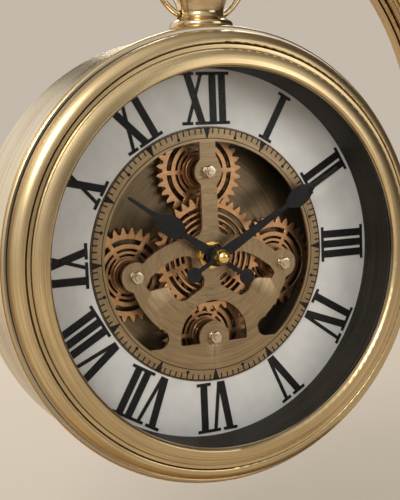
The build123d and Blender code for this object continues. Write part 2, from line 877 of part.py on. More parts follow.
with BuildPart() as rehaut_ring:
    ring(rehaut_radius, rehaut_radius + rehaut_wall, groove_floor, dial_front)
rehaut_ring.part.label = "rehaut_ring"
export_step(rehaut_ring.part, "parts/rehaut_ring.step")

with BuildPart() as dial_ring:
    ring(dial_bore, dial_radius, dial_front, plate_back)
dial_ring.part.label = "dial_ring"
export_step(dial_ring.part, "parts/dial_ring.step")

# Hour numerals: upright strokes, slanted strokes and serifs, each numeral facing outwards

numerals = ["XII", "I", "II", "III", "IV", "V", "VI", "VII", "VIII", "IX", "X", "XI"]
letter_widths = {"I": stem_pitch, "V": vee_spread + stem_width, "X": ex_spread + stem_width}


def slanted(foot, head, width):
    """A stroke from the numeral's foot to its head."""
    half = width / 2
    Polygon(
        (foot - half, numeral_inner),
        (foot + half, numeral_inner),
        (head + half, numeral_outer),
        (head - half, numeral_outer),
        align=None,
    )


def serif(middle, width, at_head):
    """A flat serif across the end of a stroke."""
    half = width / 2 + serif_overhang
    low = numeral_outer - serif_height if at_head else numeral_inner
    Polygon(
        (middle - half, low),
        (middle + half, low),
        (middle + half, low + serif_height),
        (middle - half, low + serif_height),
        align=None,
    )


def letter_i(middle):
    slanted(middle, middle, stem_width)
    serif(middle, stem_width, True)
    serif(middle, stem_width, False)


def letter_v(middle):
    slanted(middle + 0.4, middle - vee_spread / 2, stem_width)
    slanted(middle + 1.6, middle + vee_spread / 2, hairline)
    serif(middle - vee_spread / 2, stem_width, True)
    serif(middle + vee_spread / 2, hairline, True)


def letter_x(middle):
    slanted(middle + ex_spread / 2, middle - ex_spread / 2, stem_width)
    slanted(middle - ex_spread / 2, middle + ex_spread / 2, hairline)
    for side in (-1, 1):
        serif(middle + side * ex_spread / 2, stem_width if side < 0 else hairline, True)
        serif(middle + side * ex_spread / 2, stem_width if side > 0 else hairline, False)


letters = {"I": letter_i, "V": letter_v, "X": letter_x}


def numeral(text):
    """Draw a numeral's letters side by side about the middle line."""
    total = sum(letter_widths[letter] for letter in text) + letter_gap * sum(
        1 for first, second in zip(text, text[1:]) if first != second
    )
    start = -total / 2
    for index, letter in enumerate(text):
        width = letter_widths[letter]
        letters[letter](start + width / 2)
        start += width
        if index + 1 < len(text) and text[index + 1] != letter:
            start += letter_gap


with BuildPart() as hour_numerals:
    for hour, text in enumerate(numerals):
        with BuildSketch(turned_level(dial_front, -30 * hour)):
            numeral(text)
        extrude(amount=numeral_relief)
hour_numerals.part.label = "hour_numerals"
export_step(hour_numerals.part, "parts/hour_numerals.step")

# Skeleton plate: a ring, a bar, two curved arms and a bottom segment, with bean-shaped windows


def side_window(sign):
    """The window between an upper arm and a lower arm."""
    corners = [(36.5, -12.4), (33.6, -8.2), (25.0, -2.2), (17.5, 0.6), (10.6, 0.6), (10.4, -8.0)]
    corners += [(4.4, -10.4), (4.6, -15.6), (16.5, -22.4), (21.0, -19.8), (24.0, -13.6), (34.4, -15.0)]
    rounding = [1.6, 8, 20, 8, 2.6, 3, 2, 3, 3, 4, 4, 2]
    with BuildLine() as bean:
        FilletPolyline(*[(sign * x, y) for x, y in corners], radius=rounding, close=True)
    make_face(bean.edges(), mode=Mode.SUBTRACT)


def arm_outline(sign):
    """The body of the plate on one side: the upper arm, its boss and the lower arm."""
    boss = on_circle(pivot_circle, side_gear_angle)
    tip = (boss[0] - 3.6, boss[1] + 6.0)
    low = on_circle(lower_arm_radius, -18.5)
    foot = on_circle(lower_arm_radius, -degrees(acos(corner_place[0] / lower_arm_radius)))
    middle = on_circle(lower_arm_radius, -33)
    with BuildLine() as side:
        Line((0, 14.5), (sign * 4.4, 14.5))
        ThreePointArc((sign * 4.4, 14.5), (sign * 6.0, 11.2), (sign * 10.4, 9.8))
        ThreePointArc((sign * 10.4, 9.8), (sign * 24.0, 7.0), (sign * tip[0], tip[1]))
        Line((sign * tip[0], tip[1]), (sign * low[0], low[1]))
        ThreePointArc(
            (sign * low[0], low[1]),
            (sign * middle[0], middle[1]),
            (sign * foot[0], foot[1]),
        )
        Polyline((sign * foot[0], foot[1]), (sign * foot[0], -segment_height), (0, -segment_height), (0, 14.5))
    make_face(side.edges())


corner_radius = 5.0
corner_place = (30.2, corner_radius - segment_height)

with BuildPart() as skeleton_plate:
    with BuildSketch(level(plate_back)):
        arm_outline(1)
        arm_outline(-1)
        for sign in (1, -1):
            with Locations((sign * corner_place[0], corner_place[1])):
                Circle(corner_radius, mode=Mode.SUBTRACT)
            side_window(sign)
        with Locations((0, -foot_window_drop)):
            Circle(foot_window_radius, mode=Mode.SUBTRACT)
        with BuildSketch(mode=Mode.PRIVATE) as segment:
            Circle(plate_opening_radius + 1)
            with Locations((0, -segment_height)):
                Rectangle(
                    4 * plate_radius, 4 * plate_radius, align=(Align.CENTER, Align.MIN), mode=Mode.SUBTRACT
                )
        add(segment.sketch)
        Circle(centre_boss_radius)
        with Locations((0, (plate_opening_radius + 10) / 2)):
            Rectangle(plate_bar_width, plate_opening_radius - 8)
        with Locations(*post_locations()):
            Circle(post_boss_radius)
        with Locations((0, -pivot_circle)):
            Circle(foot_boss_radius)
        for sign in (1, -1):
            side_window(sign)
        with BuildSketch(mode=Mode.PRIVATE) as minute_ring:
            Circle(plate_radius)
            Circle(plate_opening_radius, mode=Mode.SUBTRACT)
        add(minute_ring.sketch)
        Circle(bush_radius, mode=Mode.SUBTRACT)
        with Locations(*post_locations()):
            Circle(post_radius + running, mode=Mode.SUBTRACT)
    extrude(amount=plate_thickness)
skeleton_plate.part.label = "skeleton_plate"
export_step(skeleton_plate.part, "parts/skeleton_plate.step")

# Gear chamber: a spun pan with a wide flange, and the brushed disc on its floor

motor_place = on_circle(motor_circle, motor_angle)

with BuildPart() as gear_pan:
    turned(
        [
            (pan_flange_bore, plate_back),
            (case_bore - loose, plate_back),
            (case_bore - loose, flange_back),
            (pan_radius, flange_back),
            (pan_radius, pan_back),
            (bush_radius, pan_back),
            (bush_radius, disc_back),
            (pan_radius - pan_wall, disc_back),
            (pan_radius - pan_wall, flange_back),
            (pan_flange_bore + pan_lip_width, flange_back),
            (pan_flange_bore + pan_lip_width, plate_back - pan_lip),
            (pan_flange_bore, plate_back - pan_lip),
        ]
    )
    with BuildSketch(level(pan_back)):
        with Locations(motor_place):
            Circle(motor_shaft_radius + loose)
        with Locations(*post_locations()):
            Circle(post_radius)
    extrude(amount=pan_wall, mode=Mode.SUBTRACT)
    with BuildSketch(level(flange_back)):
        with PolarLocations(pan_screw_circle, pan_screw_count):
            Circle(pan_screw_radius)
    extrude(amount=pan_wall, mode=Mode.SUBTRACT)
gear_pan.part.label = "gear_pan"
export_step(gear_pan.part, "parts/gear_pan.step")

with BuildPart() as back_disc:
    with BuildSketch(level(disc_back)):
        Circle(pan_radius - pan_wall - loose)
        Circle(bush_radius, mode=Mode.SUBTRACT)
        with Locations(motor_place):
            Circle(motor_shaft_radius + loose, mode=Mode.SUBTRACT)
        with Locations(*post_locations()):
            Circle(post_radius, mode=Mode.SUBTRACT)
    extrude(amount=back_disc_thickness)
back_disc.part.label = "back_disc"
export_step(back_disc.part, "parts/back_disc.step")

with BuildPart() as pan_screws:
    with BuildSketch(level(plate_back)):
        with PolarLocations(pan_screw_circle, pan_screw_count):
            Circle(pan_screw_head_radius)
    extrude(amount=screw_head_height)
    with BuildSketch(level(flange_back - ledge_thickness)):
        with PolarLocations(pan_screw_circle, pan_screw_count):
            Circle(pan_screw_radius)
    extrude(amount=ledge_thickness + pan_wall)
pan_screws.part.label = "pan_screws"
export_step(pan_screws.part, "parts/pan_screws.step")

# Satellite posts: studs riveted in the pan, a sleeve on each, and a flanged nut in front

post_foot_front = satellite_back - end_gap
sleeve_back = cup_front + end_gap

with BuildPart() as gear_posts:
    with BuildSketch(level(pan_floor)):
        with Locations(*post_locations()):
            Circle(post_foot_radius)
    extrude(amount=post_foot_front - pan_floor)
    with BuildSketch(level(pan_back)):
        with Locations(*post_locations()):
            Circle(post_radius)
    extrude(amount=post_tip - pan_back)
gear_posts.part.label = "gear_posts"
export_step(gear_posts.part, "parts/gear_posts.step")

with BuildPart() as post_sleeves:
    with BuildSketch(level(sleeve_back)):
        with Locations(*post_locations()):
            Circle(post_sleeve_radius)
            Circle(post_radius, mode=Mode.SUBTRACT)
    extrude(amount=plate_back - sleeve_back)
post_sleeves.part.label = "post_sleeves"
export_step(post_sleeves.part, "parts/post_sleeves.step")

with BuildPart() as post_nuts:
    with BuildSketch(level(0)):
        with Locations(*post_locations()):
            Circle(post_washer_radius)
            Circle(post_radius, mode=Mode.SUBTRACT)
    extrude(amount=post_washer_thickness)
    with BuildSketch(level(post_washer_thickness)):
        with Locations(*post_locations()):
            RegularPolygon(nut_flats / 2, 6, major_radius=False, rotation=nut_turn)
            Circle(post_radius, mode=Mode.SUBTRACT)
    extrude(amount=nut_height)
post_nuts.part.label = "post_nuts"
export_step(post_nuts.part, "parts/post_nuts.step")

# Gears: involute flanks with narrow tips, cut away inside into rings and spokes


def involute(angle):
    return tan(radians(angle)) - radians(angle)


def tooth_half_angle(teeth, radius, thinning):
    """Half the angle that a tooth spans at this radius, in degrees."""
    pitch_radius = gear_module * teeth / 2
    base_radius = pitch_radius * cos(radians(pressure_angle))
    half = (pi * gear_module / 4 - thinning / 2) / pitch_radius + involute(pressure_angle)
    if radius > base_radius:
        half -= involute(degrees(acos(base_radius / radius)))
    return degrees(half)


def toothed_disc(teeth, phase, addendum=wheel_addendum, thinning=backlash):
    """A spur gear's full outline, with one tooth's middle at the phase angle."""
    pitch_radius = gear_module * teeth / 2
    root = pitch_radius - 1.25 * gear_module
    tip = pitch_radius + addendum * gear_module
    foot = max(root + 0.2, pitch_radius * cos(radians(pressure_angle)))
    radii = [root] + [foot + (tip - foot) * step / 4 for step in range(5)]
    outline = []
    for tooth in range(teeth):
        middle = phase + 360 * tooth / teeth
        spans = [(radius, tooth_half_angle(teeth, radius, thinning)) for radius in radii]
        outline += [on_circle(radius, middle - span) for radius, span in spans]
        outline += [on_circle(radius, middle + span) for radius, span in reversed(spans)]
    with BuildLine() as teeth_line:
        Polyline(*outline, close=True)
    make_face(teeth_line.edges())


def spoked_gap(inner, outer, spoke_width, turn):
    """Cut a ring-shaped gap that the spokes cross."""
    with BuildSketch(mode=Mode.PRIVATE) as gap:
        Circle(outer)
        Circle(inner, mode=Mode.SUBTRACT)
        with PolarLocations(0, spoke_count, turn):
            Rectangle(2 * outer, spoke_width, align=(Align.MIN, Align.CENTER), mode=Mode.SUBTRACT)
    add(gap.sketch, mode=Mode.SUBTRACT)


with BuildPart() as sun_wheel:
    with BuildSketch(level(wheel_back)):
        toothed_disc(wheel_teeth, wheel_phase)
        for inner, outer in wheel_gaps:
            spoked_gap(inner, outer, wheel_spoke, 20)
        Circle(gear_hub_bore, mode=Mode.SUBTRACT)
    extrude(amount=gear_thickness)
sun_wheel.part.label = "sun_wheel"
export_step(sun_wheel.part, "parts/sun_wheel.step")

with BuildPart() as sun_pinion:
    with BuildSketch(level(satellite_back)):
        toothed_disc(pinion_teeth, pinion_phase)
        spoked_gap(*pinion_gap, wheel_spoke, 50)
        Circle(gear_hub_bore, mode=Mode.SUBTRACT)
    extrude(amount=gear_thickness)
sun_pinion.part.label = "sun_pinion"
export_step(sun_pinion.part, "parts/sun_pinion.step")

hub_front = plate_back - end_gap
hub_back = pan_floor + end_gap

with BuildPart() as sun_hub:
    ring(bush_radius + running, gear_hub_bore, hub_front, hub_back)
    ring(gear_hub_bore, gear_hub_radius, wheel_back, satellite_front)
    ring(gear_hub_bore, gear_hub_radius, satellite_back, hub_back)
sun_hub.part.label = "sun_hub"
export_step(sun_hub.part, "parts/sun_hub.step")


def mesh_phase(driver_teeth, driver_phase, follower_teeth, angle):
    """The follower's phase that puts its gap on the driver's tooth, seen along the line of centres."""
    lead = (angle - driver_phase) % (360 / driver_teeth)
    return angle + 180 + lead * driver_teeth / follower_teeth + 180 / follower_teeth


for side, angle in satellite_angles.items():
    gear_plane = face_place(satellite_back, on_circle(pivot_circle, angle))
    with BuildPart() as satellite_gear:
        with BuildSketch(gear_plane):
            toothed_disc(satellite_teeth, mesh_phase(pinion_teeth, pinion_phase, satellite_teeth, angle))
            for inner, outer in satellite_gaps:
                spoked_gap(inner, outer, satellite_spoke, 0)
            Circle(satellite_hub_radius, mode=Mode.SUBTRACT)
        extrude(amount=gear_thickness)
    satellite_gear.part.label = "satellite_gear_" + side
    export_step(satellite_gear.part, "parts/satellite_gear_" + side + ".step")

    with BuildPart() as satellite_hub:
        with BuildSketch(gear_plane):
            Circle(satellite_hub_radius)
            Circle(post_radius + running, mode=Mode.SUBTRACT)
        extrude(amount=cup_front - satellite_back)
        with BuildSketch(gear_plane.offset(gear_thickness)):
            Circle(cup_radius)
            Circle(satellite_hub_radius, mode=Mode.SUBTRACT)
        extrude(amount=cup_floor)
        with BuildSketch(gear_plane.offset(gear_thickness)):
            Circle(cup_radius)
            Circle(cup_radius - cup_wall, mode=Mode.SUBTRACT)
        extrude(amount=cup_front - satellite_front)
    satellite_hub.part.label = "satellite_hub_" + side
    export_step(satellite_hub.part, "parts/satellite_hub_" + side + ".step")

motor_plane = face_place(wheel_back, motor_place)
motor_phase = mesh_phase(wheel_teeth, wheel_phase, motor_teeth, motor_angle)
shaft_back = pan_back - motor_depth / 2

with BuildPart() as motor_pinion:
    with BuildSketch(motor_plane):
        toothed_disc(motor_teeth, motor_phase, motor_addendum, 2 * backlash)
    extrude(amount=gear_thickness)
    with BuildSketch(motor_plane):
        Circle(motor_collar_radius)
    extrude(amount=-(wheel_back - pan_floor - end_gap))
    with BuildSketch(motor_plane):
        Circle(motor_shaft_radius)
    extrude(amount=shaft_back - wheel_back)
motor_pinion.part.label = "motor_pinion"
export_step(motor_pinion.part, "parts/motor_pinion.step")

with BuildPart() as gear_motor:
    with BuildSketch(level(pan_back)):
        with Locations(motor_place):
            Circle(motor_radius)
    extrude(amount=-motor_depth)
    with BuildSketch(level(pan_back)):
        with Locations(motor_place):
            Circle(motor_shaft_radius + running)
    extrude(amount=shaft_back - pan_back - end_gap, mode=Mode.SUBTRACT)
gear_motor.part.label = "gear_motor"
export_step(gear_motor.part, "parts/gear_motor.step")

# Time movement, turned to leave room for the gear motor

movement_plane = turned_level(pan_back, motor_angle)
knob_place = on_circle(setting_knob_offset, 45)
bay_place = bay_wall + cell_radius - movement_side / 2

with BuildPart() as quartz_movement:
    with BuildSketch(movement_plane):
        RectangleRounded(movement_side, movement_side, movement_corner)
    extrude(amount=-movement_depth)
    with BuildSketch(level(pan_back)):
        Circle(bush_radius)
    extrude(amount=bush_front - pan_back)
    with BuildSketch(level(bush_front)):
        Circle(hour_tube_radius + running)
    extrude(amount=pan_back - bush_front - hub_well, mode=Mode.SUBTRACT)
    with BuildSketch(movement_plane.offset(-movement_depth)):
        with Locations((bay_place, 0)):
            Rectangle(2 * cell_radius + bay_margin, cell_length + bay_margin)
    extrude(amount=movement_depth - bay_floor, mode=Mode.SUBTRACT)
    with BuildSketch(movement_plane.offset(-movement_depth)):
        with Locations(knob_place):
            Circle(arbor_radius + running)
    extrude(amount=setting_stem_reach, mode=Mode.SUBTRACT)
quartz_movement.part.label = "quartz_movement"
export_step(quartz_movement.part, "parts/quartz_movement.step")

cell_foot = movement_plane.from_local_coords(
    (bay_place, -cell_length / 2, -bay_floor - cell_radius - end_gap)
)

with BuildPart() as movement_cell:
    with BuildSketch(Plane(origin=cell_foot, z_dir=movement_plane.y_dir)):
        Circle(cell_radius)
    extrude(amount=cell_length)
movement_cell.part.label = "movement_cell"
export_step(movement_cell.part, "parts/movement_cell.step")

with BuildPart() as setting_knob:
    with BuildSketch(movement_plane.offset(setting_stem_reach - end_gap - movement_depth)):
        with Locations(knob_place):
            Circle(arbor_radius)
    extrude(amount=-setting_stem_reach)
    with BuildSketch(movement_plane.offset(-movement_depth - end_gap)):
        with Locations(knob_place):
            Circle(setting_knob_radius)
            with PolarLocations(setting_knob_radius + setting_knurl_radius / 2, setting_knurls):
                Circle(setting_knurl_radius, mode=Mode.SUBTRACT)
    extrude(amount=-setting_knob_height)
setting_knob.part.label = "setting_knob"
export_step(setting_knob.part, "parts/setting_knob.step")

with BuildPart() as centre_washer:
    ring(bush_radius, centre_washer_radius, centre_washer_thickness, 0)
centre_washer.part.label = "centre_washer"
export_step(centre_washer.part, "parts/centre_washer.step")

with BuildPart() as centre_nut:
    with BuildSketch(level(centre_washer_thickness)):
        RegularPolygon(centre_nut_flats / 2, 6, major_radius=False, rotation=centre_nut_turn)
        Circle(bush_radius, mode=Mode.SUBTRACT)
    extrude(amount=centre_nut_height)
centre_nut.part.label = "centre_nut"
export_step(centre_nut.part, "parts/centre_nut.step")

# Hands: each a thin blade with a spade, and a disc on its tail


def blade(hub, neck, waist, spade_foot, spade, spade_half, tip):
    """Half widths along the hand, mirrored to a closed blade that points along +Y."""
    slender = (waist * 0.9, spade + (tip - spade) * 0.4)
    with BuildLine() as edge:
        Line((0, hub * 0.75), (neck, hub * 0.75))
        Line((neck, hub * 0.75), (waist, spade_foot))
        ThreePointArc(
            (waist, spade_foot),
            (spade_half * 0.8, spade_foot + (spade - spade_foot) * 0.35),
            (spade_half, spade),
        )
        Spline((spade_half, spade), slender, tangents=((0, 1), (-0.04, 1)))
        Line(slender, (tip_half, tip - tip_half))
        ThreePointArc(
            (tip_half, tip - tip_half),
            (tip_half * sin(pi / 4), tip - tip_half + tip_half * cos(pi / 4)),
            (0, tip),
        )
        mirror(about=Plane.YZ)
    make_face(edge.edges())


def tail(length, disc, stem):
    """The tail's stem and disc, opposite the blade."""
    with Locations((0, -length / 2)):
        Rectangle(stem, length)
    with Locations((0, -length)):
        Circle(disc)


def hand_plane(depth, clock_angle):
    return turned_level(depth, -clock_angle)


with BuildPart() as hour_hand:
    with BuildSketch(hand_plane(hour_hand_level, hour_angle)):
        blade(hour_hub_radius, 2.6, 1.3, 21.0, 30.0, 5.2, hour_hand_reach)
        tail(20.5, 4.0, tail_stem)
        Circle(hour_hub_radius)
        Circle(hour_tube_radius, mode=Mode.SUBTRACT)
    extrude(amount=hand_thickness)
hour_hand.part.label = "hour_hand"
export_step(hour_hand.part, "parts/hour_hand.step")

tube_front = hour_hand_level + hand_thickness + tube_rise
well_floor = pan_back - hub_well + end_gap

with BuildPart() as hour_tube:
    ring(arbor_radius + running, hour_tube_radius, tube_front, well_floor)
hour_tube.part.label = "hour_tube"
export_step(hour_tube.part, "parts/hour_tube.step")

with BuildPart() as minute_hand:
    with BuildSketch(hand_plane(minute_hand_level, minute_angle)):
        blade(minute_hub_radius, 2.9, 1.1, 46.0, 56.0, 4.8, minute_hand_reach)
        tail(16.0, 3.8, tail_stem)
        Circle(minute_hub_radius)
        Circle(arbor_radius, mode=Mode.SUBTRACT)
    extrude(amount=hand_thickness)
minute_hand.part.label = "minute_hand"
export_step(minute_hand.part, "parts/minute_hand.step")

cap_base = minute_hand_level + hand_thickness
arbor_front = cap_base + hand_cap_wall
cap_top = arbor_front + sqrt(hand_cap_radius**2 - hand_cap_flat**2)

with BuildPart() as minute_arbor:
    ring(0, arbor_radius, arbor_front, well_floor)
minute_arbor.part.label = "minute_arbor"
export_step(minute_arbor.part, "parts/minute_arbor.step")

with BuildPart() as hand_cap:
    with BuildSketch(section):
        with BuildLine():
            Polyline(
                (arbor_radius, cap_base),
                (hand_cap_radius, cap_base),
                (hand_cap_radius, arbor_front),
            )
            ThreePointArc(
                (hand_cap_radius, arbor_front),
                (hand_cap_radius * cos(pi / 4), arbor_front + hand_cap_radius * sin(pi / 4)),
                (hand_cap_flat, cap_top),
            )
            Polyline(
                (hand_cap_flat, cap_top),
                (0, cap_top),
                (0, arbor_front),
                (arbor_radius, arbor_front),
                (arbor_radius, cap_base),
            )
        make_face()
    revolve(axis=dial_axis)
hand_cap.part.label = "hand_cap"
export_step(hand_cap.part, "parts/hand_cap.step")

# Rear: cover, battery box with its door, cells and the gear switch

rear_side = level(cover_back)
box_centre = (0, -battery_box_drop)
switch_place = (switch_side, switch_height)
rail_foot = -battery_box_drop - door_width / 2
rail_rise = door_thickness + 2 * door_gap

with BuildPart() as rear_cover:
    ring(0, case_bore - loose, cover_front, cover_back)
    with BuildSketch(turned_level(cover_back, motor_angle)):
        Rectangle(rear_window_side, rear_window_side)
    extrude(amount=rear_cover_thickness, mode=Mode.SUBTRACT)
    with BuildSketch(rear_side):
        with Locations(motor_place):
            Circle(motor_radius + loose)
        with Locations(box_centre):
            Rectangle(hatch_length, hatch_width)
        with Locations(switch_place):
            Rectangle(slider_width + slot_margin, slider_length + slider_travel + slot_margin)
        with PolarLocations(pan_screw_circle, cover_screw_count, 45):
            Circle(cover_screw_radius)
    extrude(amount=rear_cover_thickness, mode=Mode.SUBTRACT)
    for sign in (-1, 1):
        with BuildSketch(rear_side):
            with Locations((sign * (door_length / 2 + door_gap), rail_foot)):
                Rectangle(rail_wall, rail_length, align=(Align.MIN if sign > 0 else Align.MAX, Align.MIN))
        extrude(amount=-rail_rise)
        with BuildSketch(level(cover_back - rail_rise)):
            with Locations((sign * (door_length / 2 + door_gap + rail_wall), rail_foot)):
                Rectangle(rail_lip, rail_length, align=(Align.MAX if sign > 0 else Align.MIN, Align.MIN))
        extrude(amount=-rail_lip_thickness)
rear_cover.part.label = "rear_cover"
export_step(rear_cover.part, "parts/rear_cover.step")

with BuildPart() as cover_screws:
    with BuildSketch(rear_side):
        with PolarLocations(pan_screw_circle, cover_screw_count, 45):
            Circle(screw_head_radius)
    extrude(amount=-screw_head_height)
    with BuildSketch(rear_side):
        with PolarLocations(pan_screw_circle, cover_screw_count, 45):
            Circle(cover_screw_radius)
    extrude(amount=rear_cover_thickness + ledge_thickness)
cover_screws.part.label = "cover_screws"
export_step(cover_screws.part, "parts/cover_screws.step")

with BuildPart() as battery_box:
    with BuildSketch(level(cover_front)):
        with Locations(box_centre):
            Rectangle(battery_box_length, battery_box_width)
    extrude(amount=battery_box_depth)
    with BuildSketch(level(cover_front)):
        with Locations(box_centre):
            Rectangle(battery_box_length - 2 * battery_box_wall, battery_box_width - 2 * battery_box_wall)
    extrude(amount=battery_box_depth - battery_box_wall, mode=Mode.SUBTRACT)
battery_box.part.label = "battery_box"
export_step(battery_box.part, "parts/battery_box.step")

cell_depth = cover_front + battery_box_depth - battery_box_wall - cell_radius

with BuildPart() as gear_cells:
    with BuildSketch(Plane.YZ.offset(-cell_length / 2)):
        with Locations(*[
            (dial_offset - cell_depth, head_z - battery_box_drop + side * (cell_radius + loose))
            for side in (-1, 1)
        ]):
            Circle(cell_radius)
    extrude(amount=cell_length)
gear_cells.part.label = "gear_cells"
export_step(gear_cells.part, "parts/gear_cells.step")

with BuildPart() as battery_door:
    with BuildSketch(level(cover_back - door_gap)):
        with Locations(box_centre):
            Rectangle(door_length, door_width)
    extrude(amount=-door_thickness)
    with BuildSketch(level(cover_back - door_gap - door_thickness)):
        with Locations(box_centre):
            with GridLocations(0, 2 * door_ridge_width, 1, door_ridge_count):
                Rectangle(hatch_width, door_ridge_width)
    extrude(amount=-rail_lip_thickness)
battery_door.part.label = "battery_door"
export_step(battery_door.part, "parts/battery_door.step")

with BuildPart() as gear_switch:
    with BuildSketch(level(cover_front)):
        with Locations(switch_place):
            Rectangle(switch_width, switch_length)
    extrude(amount=switch_depth)
gear_switch.part.label = "gear_switch"
export_step(gear_switch.part, "parts/gear_switch.step")

with BuildPart() as switch_slider:
    with BuildSketch(level(cover_front - door_gap)):
        with Locations((switch_place[0], switch_place[1] - slider_travel / 2)):
            Rectangle(slider_width, slider_length)
    extrude(amount=-slider_height)
switch_slider.part.label = "switch_slider"
export_step(switch_slider.part, "parts/switch_slider.step")
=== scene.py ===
"""Looks of the table clock: finished metal, dial print, glass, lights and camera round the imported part.

Metres, in the row frame: X right, Y back, Z up. The dial's axis runs along Y through DIAL.
"""
import json
from math import cos, pi, radians, sin

import bmesh
import bpy
from mathutils import Matrix, Vector


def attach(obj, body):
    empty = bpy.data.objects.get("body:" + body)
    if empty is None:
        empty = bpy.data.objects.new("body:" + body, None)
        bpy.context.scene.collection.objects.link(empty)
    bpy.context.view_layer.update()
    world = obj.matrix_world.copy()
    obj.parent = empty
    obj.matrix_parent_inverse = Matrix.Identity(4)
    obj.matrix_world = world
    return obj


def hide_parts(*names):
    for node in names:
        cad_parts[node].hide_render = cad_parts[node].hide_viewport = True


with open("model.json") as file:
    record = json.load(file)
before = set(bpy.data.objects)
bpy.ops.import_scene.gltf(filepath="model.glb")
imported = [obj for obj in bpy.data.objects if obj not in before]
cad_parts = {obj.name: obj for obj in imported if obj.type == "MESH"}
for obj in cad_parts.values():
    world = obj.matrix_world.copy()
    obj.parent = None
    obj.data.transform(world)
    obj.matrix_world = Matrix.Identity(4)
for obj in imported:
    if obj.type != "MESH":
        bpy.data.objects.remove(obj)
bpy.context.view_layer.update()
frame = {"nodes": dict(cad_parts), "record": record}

DIAL = Vector((0, -0.002, 0.201))  # the middle of the skeleton plate's front
ARCH_SPRING = 0.253  # where the legs end and the crown's half circle starts


def dial_point(x, y, depth):
    """A place on the dial in millimetres: right, up and towards the viewer."""
    return DIAL + Vector((x, -depth, y)) / 1000


# Materials


class Shader:
    """A material under construction: its node tree, its surface and the sums that feed it."""

    def __init__(self, name):
        self.material = bpy.data.materials.new(name)
        self.material.use_nodes = True
        self.tree = self.material.node_tree
        self.surface = self.tree.nodes["Principled BSDF"]
        self.place = self.node("ShaderNodeTexCoord").outputs["Object"]

    def node(self, kind, **settings):
        made = self.tree.nodes.new(kind)
        for key, value in settings.items():
            setattr(made, key, value)
        return made

    def feed(self, socket, value):
        if isinstance(value, bpy.types.NodeSocket):
            self.tree.links.new(value, socket)
        else:
            socket.default_value = value

    def math(self, operation, *values):
        made = self.node("ShaderNodeMath", operation=operation)
        for socket, value in zip(made.inputs, values):
            self.feed(socket, value)
        return made.outputs[0]

    def times(self, *values):
        return self.math("MULTIPLY", *values)

    def add(self, *values):
        return self.math("ADD", *values)

    def less(self, *values):
        return self.math("SUBTRACT", *values)

    def over(self, *values):
        return self.math("DIVIDE", *values)

    def length(self, first, second):
        """The distance from the middle of two coordinates."""
        return self.math("SQRT", self.add(self.times(first, first), self.times(second, second)))

    def vector(self, x, y, z):
        made = self.node("ShaderNodeCombineXYZ")
        for socket, value in zip(made.inputs, (x, y, z)):
            self.feed(socket, value)
        return made.outputs[0]

    def axes(self):
        made = self.node("ShaderNodeSeparateXYZ")
        self.feed(made.inputs[0], self.place)
        return made.outputs[0], made.outputs[1], made.outputs[2]

    def noise(self, vector, scale, detail=3.0, roughness=0.55):
        made = self.node("ShaderNodeTexNoise")
        self.feed(made.inputs["Vector"], vector)
        made.inputs["Scale"].default_value = scale
        made.inputs["Detail"].default_value = detail
        made.inputs["Roughness"].default_value = roughness
        return made.outputs["Fac"]

    def span(self, value, low, high, start=0.0, end=1.0):
        """value from low to high becomes start to end, held at the ends."""
        made = self.node("ShaderNodeMapRange")
        self.feed(made.inputs["Value"], value)
        for key, number in zip(("From Min", "From Max", "To Min", "To Max"), (low, high, start, end)):
            made.inputs[key].default_value = number
        return made.outputs["Result"]

    def mix(self, factor, first, second, blend="MIX"):
        made = self.node("ShaderNodeMix", data_type="RGBA", blend_type=blend)
        self.feed(made.inputs[0], factor)
        for socket, value in ((made.inputs[6], first), (made.inputs[7], second)):
            self.feed(socket, (*value, 1) if isinstance(value, tuple) and len(value) == 3 else value)
        return made.outputs[2]

    def bump(self, height, strength, distance, normal=None):
        made = self.node("ShaderNodeBump")
        made.inputs["Strength"].default_value = strength
        made.inputs["Distance"].default_value = distance
        self.feed(made.inputs["Height"], height)
        if normal is not None:
            self.feed(made.inputs["Normal"], normal)
        return made.outputs["Normal"]

    def set(self, **values):
        for key, value in values.items():
            socket = self.surface.inputs[key.replace("_", " ")]
            self.feed(socket, (*value, 1) if isinstance(value, tuple) and len(value) == 3 else value)


NEAR_AXIS = 0.0005  # a turning's grain is held steady closer to its axis than this
ACROSS_GRAIN = 1000  # grain repeats in millimetres across the brushing
LEG_RUN = 6  # the legs' grain, as long as the crown's


def lay_round_dial(shader, along):
    """Grain that runs round the dial's axis: slow along the circle, quick across it."""
    x, y, z = shader.axes()
    x = shader.less(x, DIAL.x)
    z = shader.less(z, DIAL.z)
    radius = shader.length(x, z)
    safe = shader.math("MAXIMUM", radius, NEAR_AXIS)
    across = shader.add(radius, y)
    turn_x = shader.times(shader.over(x, safe), along)
    turn_z = shader.times(shader.over(z, safe), along)
    return shader.vector(turn_x, turn_z, shader.times(across, ACROSS_GRAIN)), radius, y


def lay_along_arch(shader, along):
    """Grain that runs up the legs and round the crown."""
    x, y, z = shader.axes()
    rise = shader.math("MAXIMUM", shader.less(z, ARCH_SPRING), 0)
    below = shader.math("MINIMUM", shader.less(z, ARCH_SPRING), 0)
    radius = shader.length(x, rise)
    safe = shader.math("MAXIMUM", radius, 2 * NEAR_AXIS)
    turn = shader.times(shader.over(rise, safe), along)
    run = shader.times(shader.add(shader.over(x, safe), shader.times(below, LEG_RUN)), along)
    return shader.vector(turn, run, shader.times(shader.add(radius, y), ACROSS_GRAIN)), radius, y


def lay_round_upright(shader, along):
    """Grain that runs round a vertical turning, such as the neck and the finial."""
    x, y, z = shader.axes()
    radius = shader.length(x, y)
    safe = shader.math("MAXIMUM", radius, NEAR_AXIS)
    turn_x = shader.times(shader.over(x, safe), along)
    turn_y = shader.times(shader.over(y, safe), along)
    return shader.vector(turn_x, turn_y, shader.times(shader.add(z, radius), ACROSS_GRAIN)), radius, z


